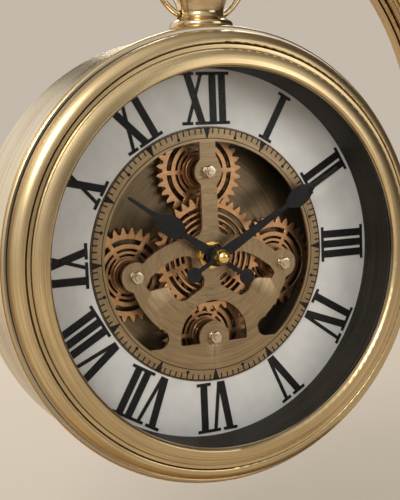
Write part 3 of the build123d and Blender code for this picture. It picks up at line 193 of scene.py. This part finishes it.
def lay_along_x(shader, along):
    """Grain that runs from left to right."""
    x, y, z = shader.axes()
    run = shader.times(x, 10 * along)
    across = shader.times(shader.add(y, z), ACROSS_GRAIN)
    return shader.vector(run, 0.0, across), x, y


def metal(
    name, light, dark, roughness, lay, along=1.6, streak=0.35, fine=1.6, relief=0.25, patina=0.25, shade=None
):
    """Brushed and lacquered metal: long streaks, a finer grain, cloudy patina and, where shade is given,
    painted shade and reflection.
    """
    shader = Shader(name)
    vector, first, second = lay(shader, along)
    streaks = shader.noise(vector, streak, 2.0)
    grain = shader.noise(vector, fine, 3.0, 0.65)
    cloud = shader.noise(shader.place, 22.0, 3.0)
    tone = shader.add(shader.times(streaks, 0.6), shader.times(grain, 0.4))
    colour = shader.mix(shader.span(tone, 0.34, 0.66), dark, light)
    aged = shader.mix(shader.span(cloud, 0.45, 0.7, 0.0, patina), colour, tuple(0.55 * part for part in dark))
    if shade is not None:
        aged = shade(shader, aged, first, second)
    rough = shader.span(tone, 0.3, 0.7, roughness + 0.08, roughness - 0.06)
    normal = shader.bump(grain, relief, 0.0001)
    shader.set(Base_Color=aged, Metallic=1.0, Roughness=rough, Normal=normal)
    return shader.material


def painted(name, colour, second, roughness, speckle=700.0, relief=0.2, metallic=0.0, gloss=0.5):
    """Paint or moulding with a fine texture and a slight change of tone."""
    shader = Shader(name)
    fine = shader.noise(shader.place, speckle, 3.0)
    broad = shader.noise(shader.place, 40.0, 3.0)
    tone = shader.mix(shader.span(broad, 0.35, 0.65), colour, second)
    rough = shader.span(fine, 0.3, 0.7, roughness - 0.05, roughness + 0.07)
    shader.set(Base_Color=tone, Roughness=rough, Normal=shader.bump(fine, relief, 0.00006), Metallic=metallic)
    shader.surface.inputs["Specular IOR Level"].default_value = gloss
    return shader.material


# Painted shade: the dark tint laid into the arch's grooves and along the bezel's lines and rim step
PAINTED_SHADE_TINT = (0.035, 0.024, 0.014)
GEAR_SHADOW = (0.05, 0.026, 0.014)
# Painted reflection: the grey laid on the flat at the bezel's rim
RIM_PAINTED_REFLECTION = (0.34, 0.34, 0.33)
# Painted shade for the ledge between the bezel's bands
LEDGE_PAINTED_SHADE = (0.11, 0.12, 0.145)

# Radii on the bezel, from and to, and the places along Y that they lie behind
LEDGE = (0.10085, 0.10255, -0.0266)
OUTER_LINE = (0.10268, 0.1031, -0.0268)
INNER_LINE = (0.1007, 0.10092, -0.0275)
RIM_FLAT = (0.1101, 0.1111)
RIM_STEP = (0.1097, 0.1101)
RIM_STEP_FRONT = (-0.0212, -0.0206)

ARCH_MIDDLE = 0.141  # the arch's middle radius
ARCH_GROOVES = ((0.0122, 0.0128), (0.0091, 0.0096))  # from the middle radius, to each side
GROOVE_DEPTH = (0.0032, 0.0044)  # half depths at a groove's floor and at its ribs

# Bands along Y that the gears' painted shade leaves bright
WHEEL_FRONT = (0.0010, 0.0020)  # the sun wheel's front, along Y
REAR_FRONTS = (0.0056, 0.0086)  # the cups' rims, and the satellites with the pinion


def darken(shader, colour, amount, tint=PAINTED_SHADE_TINT):
    return shader.mix(amount, colour, tint)


def inside(shader, value, low, high, soft):
    """One between low and high, falling to nought over soft at each end."""
    rise = shader.span(value, low - soft, low)
    fall = shader.span(value, high, high + soft, 1.0, 0.0)
    return shader.times(rise, fall)


def behind(shader, depth, limit):
    """One further back than this place along Y, and nought on the bands in front of it."""
    return shader.span(depth, limit - 0.0002, limit + 0.0002, 0.0, 1.0)


def bezel_painted_shading(shader, colour, radius, depth):
    """Painted shade on the ledge, thin lines of painted shade between the bezel's bands, a painted grey
    reflection on the flat at its rim, and painted shade in the rim's step.
    """
    low, high, front = LEDGE
    ledge = shader.times(inside(shader, radius, low, high, 0.00008), behind(shader, depth, front))
    colour = shader.mix(shader.times(ledge, 0.9), colour, LEDGE_PAINTED_SHADE)
    for low, high, front in (OUTER_LINE, INNER_LINE):
        line = inside(shader, radius, low, high, 0.00006)
        colour = darken(shader, colour, shader.times(line, behind(shader, depth, front)))
    # Painted reflection on the rim's flat
    flat = inside(shader, radius, *RIM_FLAT, 0.0002)
    colour = shader.mix(shader.times(flat, 0.7), colour, RIM_PAINTED_REFLECTION)
    step = inside(shader, radius, *RIM_STEP, 0.00008)
    low = shader.span(depth, *RIM_STEP_FRONT, 0.0, 1.0)
    return darken(shader, colour, shader.times(shader.times(step, low), 0.9))


def arch_groove_shade(shader, colour, radius, depth):
    """Painted shade in the arch's grooves, which lie nearer to the middle plane than its ribs."""
    across = shader.math("ABSOLUTE", shader.less(radius, ARCH_MIDDLE))
    sunk = shader.span(shader.math("ABSOLUTE", depth), *GROOVE_DEPTH, 1.0, 0.0)
    bands = [inside(shader, across, low, high, 0.0002) for low, high in ARCH_GROOVES]
    return darken(shader, colour, shader.times(shader.times(shader.math("MAXIMUM", *bands), sunk), 0.85))


def gear_painted_shade(shader, colour, radius, depth):
    """Painted shade: the wheels' front faces stay bright; their sides and the insides of the cups are painted
    dark.
    """
    lit = inside(shader, depth, *WHEEL_FRONT, 0.0002)
    for front in REAR_FRONTS:
        lit = shader.math("MAXIMUM", lit, inside(shader, depth, front - 0.0002, front + 0.0003, 0.0002))
    shadow = shader.times(shader.less(1.0, lit), 0.8)
    return darken(shader, colour, shadow, GEAR_SHADOW)


brass_arch = metal(
    "brass_arch", (0.72, 0.53, 0.29), (0.44, 0.30, 0.15), 0.24, lay_along_arch, shade=arch_groove_shade
)
brass_base = metal("brass_base", (0.66, 0.48, 0.26), (0.43, 0.30, 0.15), 0.28, lay_along_x)
brass_case = metal(
    "brass_case", (0.74, 0.60, 0.38), (0.46, 0.35, 0.20), 0.26, lay_round_dial, streak=0.5, patina=0.3
)
brass_bezel = metal(
    "brass_bezel", (0.82, 0.64, 0.37), (0.46, 0.34, 0.18), 0.29, lay_round_dial,
    along=1.1, streak=0.8, fine=2.4, shade=bezel_painted_shading
)
brass_polished = metal(
    "brass_polished", (0.70, 0.55, 0.33), (0.46, 0.34, 0.19), 0.17, lay_round_upright, streak=0.5, relief=0.15
)
brass_inner = metal(
    "brass_inner", (0.46, 0.34, 0.20), (0.28, 0.20, 0.115), 0.34, lay_round_dial,
    along=3.0, streak=0.9, fine=2.6, relief=0.4
)
bright_brass = metal(
    "bright_brass", (0.98, 0.74, 0.28), (0.88, 0.60, 0.18), 0.15, lay_round_dial, patina=0.05, relief=0.1
)
copper_gear = metal(
    "copper_gear", (0.74, 0.43, 0.22), (0.56, 0.31, 0.15), 0.32, lay_round_dial, streak=0.8, patina=0.12,
    shade=gear_painted_shade
)
champagne = metal(
    "champagne", (0.74, 0.64, 0.48), (0.56, 0.47, 0.34), 0.24, lay_round_dial, streak=0.9, patina=0.1
)
dark_disc = metal(
    "dark_disc", (0.27, 0.205, 0.125), (0.155, 0.115, 0.068), 0.32, lay_round_dial,
    along=2.0, streak=0.7, relief=0.35
)
steel = metal("steel", (0.66, 0.66, 0.64), (0.50, 0.50, 0.49), 0.22, lay_round_dial, patina=0.1)
iron = painted("iron", (0.05, 0.05, 0.05), (0.08, 0.075, 0.07), 0.6, metallic=0.6)
dark_pan = painted("dark_pan", (0.030, 0.026, 0.022), (0.045, 0.038, 0.03), 0.5)
black_paint = painted(
    "black_paint", (0.008, 0.008, 0.009), (0.012, 0.012, 0.013), 0.42, speckle=1200.0, relief=0.1, gloss=0.22
)
black_print = painted(
    "black_print", (0.007, 0.007, 0.008), (0.011, 0.011, 0.012), 0.34, relief=0.06, gloss=0.2
)
black_plastic = painted(
    "black_plastic", (0.020, 0.020, 0.021), (0.030, 0.030, 0.031), 0.48, speckle=900.0, relief=0.5
)
rubber = painted("rubber", (0.018, 0.018, 0.018), (0.028, 0.028, 0.028), 0.75)
cell_sleeve = painted("cell", (0.13, 0.14, 0.16), (0.17, 0.18, 0.20), 0.3, relief=0.05, metallic=0.5)


def dial_face():
    """Silvery off-white, very finely grained, with painted shade greying it towards the rim."""
    shader = Shader("dial")
    vector, radius, _ = lay_round_dial(shader, 9.0)
    grain = shader.noise(vector, 2.2, 2.0)
    mottle = shader.noise(shader.place, 90.0, 4.0, 0.6)
    pale = shader.mix(shader.span(mottle, 0.35, 0.65), (0.67, 0.68, 0.68), (0.74, 0.745, 0.74))
    # Painted shade: the dial greys towards the rehaut at its rim
    rim = shader.span(radius, 0.087, 0.0935, 0.0, 0.15)
    rim_shaded = shader.mix(rim, pale, (0.30, 0.30, 0.30))
    shader.set(Base_Color=rim_shaded, Metallic=0.25, Roughness=0.42, Normal=shader.bump(grain, 0.12, 0.00005))
    return shader.material


def rehaut_face():
    """Dark brown-black with fine rings cut into it."""
    shader = Shader("dark_rehaut")
    vector, _, _ = lay_round_dial(shader, 1.0)
    rings = shader.noise(vector, 1.6, 3.0, 0.7)
    tone = shader.mix(shader.span(rings, 0.35, 0.65), (0.010, 0.009, 0.007), (0.034, 0.028, 0.021))
    normal = shader.bump(rings, 0.3, 0.0001)
    shader.set(Base_Color=tone, Roughness=0.55, Normal=normal, Specular_IOR_Level=0.06)
    return shader.material


def felt_cloth():
    shader = Shader("felt")
    fibre = shader.noise(shader.place, 900.0, 5.0, 0.75)
    clump = shader.noise(shader.place, 120.0, 3.0)
    tone = shader.mix(shader.span(clump, 0.35, 0.65), (0.012, 0.014, 0.013), (0.030, 0.034, 0.031))
    shader.set(Base_Color=tone, Roughness=0.95, Normal=shader.bump(fibre, 0.8, 0.0004))
    shader.surface.inputs["Sheen Weight"].default_value = 0.4
    return shader.material


GLASS_SHEEN = 0.05  # the coated glass keeps this share of bare glass's reflection


def clear_glass():
    """Thin clear glass: it lets everything through and keeps a faint reflection."""
    shader = Shader("glass")
    fresnel = shader.node("ShaderNodeFresnel")
    fresnel.inputs["IOR"].default_value = 1.45
    smear = shader.noise(shader.place, 30.0, 3.0)
    haze = shader.span(smear, 0.3, 0.7, 0.0, 0.03)
    shader.set(Base_Color=(0.9, 0.95, 0.95), Roughness=haze, Metallic=1.0)
    clear = shader.node("ShaderNodeBsdfTransparent")
    mixed = shader.node("ShaderNodeMixShader")
    shader.feed(mixed.inputs[0], shader.times(fresnel.outputs[0], GLASS_SHEEN))
    shader.feed(mixed.inputs[1], clear.outputs[0])
    shader.feed(mixed.inputs[2], shader.surface.outputs[0])
    shader.feed(shader.tree.nodes["Material Output"].inputs["Surface"], mixed.outputs[0])
    return shader.material


finishes = {
    "brass_arch": brass_arch,
    "brass_base": brass_base,
    "brass_case": brass_case,
    "brass_bezel": brass_bezel,
    "brass_polished": brass_polished,
    "brass_inner": brass_inner,
    "bright_brass": bright_brass,
    "copper_gear": copper_gear,
    "champagne": champagne,
    "steel": steel,
    "iron": iron,
    "felt": felt_cloth(),
    "glass": clear_glass(),
    "rubber": rubber,
    "dial": dial_face(),
    "black_print": black_print,
    "black_paint": black_paint,
    "dark_rehaut": rehaut_face(),
    "dark_pan": dark_pan,
    "dark_disc": dark_disc,
    "black_plastic": black_plastic,
    "cell": cell_sleeve,
}

slot_of = {entry["node"]: entry["material_slot"] for entry in frame["record"]["subparts"]}
home_of = {node: body for body, nodes in frame["record"]["behaviour"]["bodies"].items() for node in nodes}


def dress(obj, material):
    obj.data.materials.clear()
    obj.data.materials.append(material)


for node, obj in frame["nodes"].items():
    for index in range(len(obj.material_slots)):
        obj.material_slots[index].material = finishes[slot_of[node]]

# Pieces whose edges are softened: a copy of the solid with a small rounding that catches the light

softened = {
    "skeleton_plate": 0.00022,
    "hour_numerals": 0.00008,
    "sun_wheel": 0.00012,
    "sun_pinion": 0.00012,
    "motor_pinion": 0.00010,
    "post_nuts": 0.00020,
    "centre_nut": 0.00025,
    "centre_washer": 0.00012,
    "hour_hand": 0.00015,
    "minute_hand": 0.00015,
    "pendant_neck": 0.00030,
    "crown_knob": 0.00020,
    "leg_shoe_left": 0.00050,
    "leg_shoe_right": 0.00050,
    "case_band": 0.00030,
    "battery_door": 0.00030,
    "setting_knob": 0.00025,
    "cover_screws": 0.00030,
    "quartz_movement": 0.00040,
    "dial_ring": 0.00015,
}
for side in ("top", "right", "bottom", "left"):
    softened["satellite_gear_" + side] = 0.00012
    softened["satellite_hub_" + side] = 0.00025

SHARP = radians(32)  # edges sharper than this are rounded
CREASE = radians(40)  # and edges sharper than this keep a break in their shading
WELD = 2e-6


def soften(node, width):
    """Stand a copy of the node, with its sharp edges rounded by this much, in the node's place."""
    mesh = frame["nodes"][node].data.copy()
    work = bmesh.new()
    work.from_mesh(mesh)
    bmesh.ops.remove_doubles(work, verts=work.verts, dist=WELD)
    work.to_mesh(mesh)
    work.free()
    obj = bpy.data.objects.new(node + "_finished", mesh)
    bpy.context.scene.collection.objects.link(obj)
    dress(obj, finishes[slot_of[node]])
    bevel = obj.modifiers.new("edges", "BEVEL")
    bevel.width = width
    bevel.segments = 2
    bevel.limit_method = "ANGLE"
    bevel.angle_limit = SHARP
    bevel.harden_normals = False
    mesh.shade_smooth()
    mesh.set_sharp_from_angle(angle=CREASE)
    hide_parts(node)
    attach(obj, home_of[node])


for node, width in softened.items():
    soften(node, width)

# Minute track printed on the skeleton plate's ring, in millimetres

TRACK_INNER, TRACK_OUTER = 58.7, 64.1
PRINT_LIFT = 0.05
RIM_LINE = 0.5  # the width of the outer line
INNER_LINE_HALF = 0.2
DIVISIONS = 120
WEDGE_EVERY = 10  # a wedge at each hour
DOT_EVERY = 5  # a longer tick with a dot at each half hour
WEDGE_FOOT_HALF, WEDGE_TIP_HALF = 1.9, 0.3
TICK_HALF = 0.36
TICK_LENGTH, DOT_TICK_LENGTH = 3.0, 3.4
DOT_RADIUS, DOT_DROP, DOT_SIDES = 0.9, 0.4, 12


def flat_shape(work, points):
    """A thin printed shape from dial points."""
    low = [work.verts.new(dial_point(x, y, 0.0)) for x, y in points]
    high = [work.verts.new(dial_point(x, y, PRINT_LIFT)) for x, y in points]
    work.faces.new(high)
    for index in range(len(points)):
        after = (index + 1) % len(points)
        work.faces.new((high[index], high[after], low[after], low[index]))


def at_clock(across, radius, turn):
    """A point beside the radius at this clock angle."""
    return (radius * sin(turn) + across * cos(turn), radius * cos(turn) - across * sin(turn))


def printed_ring(work, inner, outer, steps=360):
    for step in range(steps):
        turns = (2 * pi * step / steps, 2 * pi * (step + 1) / steps)
        corners = [at_clock(0, inner, turns[0]), at_clock(0, outer, turns[0]), at_clock(0, outer, turns[1])]
        flat_shape(work, corners + [at_clock(0, inner, turns[1])])


def printed_bar(work, turn, outer_half, inner, inner_half):
    """A bar from the track's outer edge inwards, straight or tapered."""
    outer_end = [(-outer_half, TRACK_OUTER), (outer_half, TRACK_OUTER)]
    corners = outer_end + [(inner_half, inner), (-inner_half, inner)]
    flat_shape(work, [at_clock(across, radius, turn) for across, radius in corners])


def printed_dot(work, turn):
    x, y = at_clock(0, TRACK_OUTER - DOT_TICK_LENGTH - DOT_DROP, turn)
    parts = [2 * pi * part / DOT_SIDES for part in range(DOT_SIDES)]
    flat_shape(work, [(x + DOT_RADIUS * cos(part), y + DOT_RADIUS * sin(part)) for part in parts])


def minute_track():
    work = bmesh.new()
    printed_ring(work, TRACK_OUTER - RIM_LINE, TRACK_OUTER)
    printed_ring(work, TRACK_INNER - INNER_LINE_HALF, TRACK_INNER + INNER_LINE_HALF)
    for division in range(DIVISIONS):
        turn = 2 * pi * division / DIVISIONS
        if division % WEDGE_EVERY == 0:
            printed_bar(work, turn, WEDGE_FOOT_HALF, TRACK_INNER, WEDGE_TIP_HALF)
            continue
        dotted = division % DOT_EVERY == 0
        length = DOT_TICK_LENGTH if dotted else TICK_LENGTH
        printed_bar(work, turn, TICK_HALF, TRACK_OUTER - length, TICK_HALF)
        if dotted:
            printed_dot(work, turn)
    bmesh.ops.recalc_face_normals(work, faces=work.faces)
    mesh = bpy.data.meshes.new("minute_track")
    work.to_mesh(mesh)
    work.free()
    obj = bpy.data.objects.new("minute_track", mesh)
    bpy.context.scene.collection.objects.link(obj)
    dress(obj, black_print)
    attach(obj, "head")


minute_track()

# Floor, backdrop light and lamps

PALE = (0.55, 0.485, 0.405)
FLOOR_SIDE = 8.0
FLOOR_DROP = 0.0002  # the floor lies this far under the felt
BRIGHT_SIDE = Vector((-0.62, -0.25, 0.74)).normalized()
WORLD_STOPS = (  # from the dark side to the bright one
    (0.0, (0.05, 0.045, 0.04)),
    (0.3, (0.17, 0.155, 0.135)),
    (0.6, (0.60, 0.57, 0.53)),
    (1.0, (1.15, 1.12, 1.07)),
)


def studio_floor():
    shader = Shader("floor")
    broad = shader.noise(shader.place, 3.0, 2.0)
    tone = shader.mix(shader.span(broad, 0.3, 0.7), PALE, tuple(0.97 * part for part in PALE))
    shader.set(Base_Color=tone, Roughness=0.8)
    bpy.ops.mesh.primitive_plane_add(size=FLOOR_SIDE, location=(0, 0, -FLOOR_DROP))
    floor = bpy.context.object
    floor.name = "floor"
    dress(floor, shader.material)


def studio_world():
    """Pale behind the object, with a darker side in its light that shapes the metal."""
    world = bpy.data.worlds.new("studio")
    bpy.context.scene.world = world
    world.use_nodes = True
    tree = world.node_tree
    background = tree.nodes["Background"]
    place = tree.nodes.new("ShaderNodeTexCoord")
    turn = tree.nodes.new("ShaderNodeVectorMath")
    turn.operation = "DOT_PRODUCT"
    turn.inputs[1].default_value = BRIGHT_SIDE
    tree.links.new(place.outputs["Generated"], turn.inputs[0])
    shape = tree.nodes.new("ShaderNodeValToRGB")
    tree.links.new(turn.outputs["Value"], shape.inputs["Fac"])
    while len(shape.color_ramp.elements) < len(WORLD_STOPS):
        shape.color_ramp.elements.new(0.5)
    for element, (position, colour) in zip(shape.color_ramp.elements, WORLD_STOPS):
        element.position = position
        element.color = (*colour, 1)
    rays = tree.nodes.new("ShaderNodeLightPath")
    mixed = tree.nodes.new("ShaderNodeMix")
    mixed.data_type = "RGBA"
    tree.links.new(rays.outputs["Is Camera Ray"], mixed.inputs[0])
    tree.links.new(shape.outputs["Color"], mixed.inputs[6])
    mixed.inputs[7].default_value = (*PALE, 1)
    tree.links.new(mixed.outputs[2], background.inputs["Color"])
    background.inputs["Strength"].default_value = 1.0


LAMP_TINT = (1.0, 0.97, 0.92)


def lamp(name, place, size, power):
    """A soft rectangular lamp that faces the dial."""
    data = bpy.data.lights.new(name, "AREA")
    data.shape = "RECTANGLE"
    data.size, data.size_y = size
    data.energy = power
    data.color = LAMP_TINT
    obj = bpy.data.objects.new(name, data)
    bpy.context.scene.collection.objects.link(obj)
    obj.location = place
    obj.rotation_euler = (Vector(place) - DIAL).to_track_quat("Z", "Y").to_euler()


studio_floor()
studio_world()
lamp("key", (-1.1, -1.0, 1.3), (0.7, 0.7), 19.0)
lamp("fill", (0.9, -1.3, 0.7), (0.8, 1.0), 5.0)
lamp("rim", (0.5, 1.1, 1.1), (0.7, 0.7), 8.0)
lamp("side", (-0.55, 1.0, 0.45), (1.3, 1.3), 5.0)

# Camera at the photograph's place

CAMERA_PLACE = Vector((-0.2230, -0.4610, 0.2618))
# Rows: the picture's right, its up, and away from the object
CAMERA_AXES = ((0.9018, -0.4306, -0.038), (0.0827, 0.0857, 0.9929), (-0.4242, -0.8985, 0.1129))
LENS = 73.3
SENSOR_WIDTH = 36.0
NEAREST = 0.01

camera_data = bpy.data.cameras.new("camera")
camera_data.lens = LENS
camera_data.sensor_width = SENSOR_WIDTH
camera_data.clip_start = NEAREST
camera = bpy.data.objects.new("camera", camera_data)
bpy.context.scene.collection.objects.link(camera)
axes = Matrix(CAMERA_AXES).transposed().to_quaternion()
camera.matrix_world = Matrix.LocRotScale(CAMERA_PLACE, axes, None)
bpy.context.scene.camera = camera

bpy.context.scene.view_settings.view_transform = "Standard"
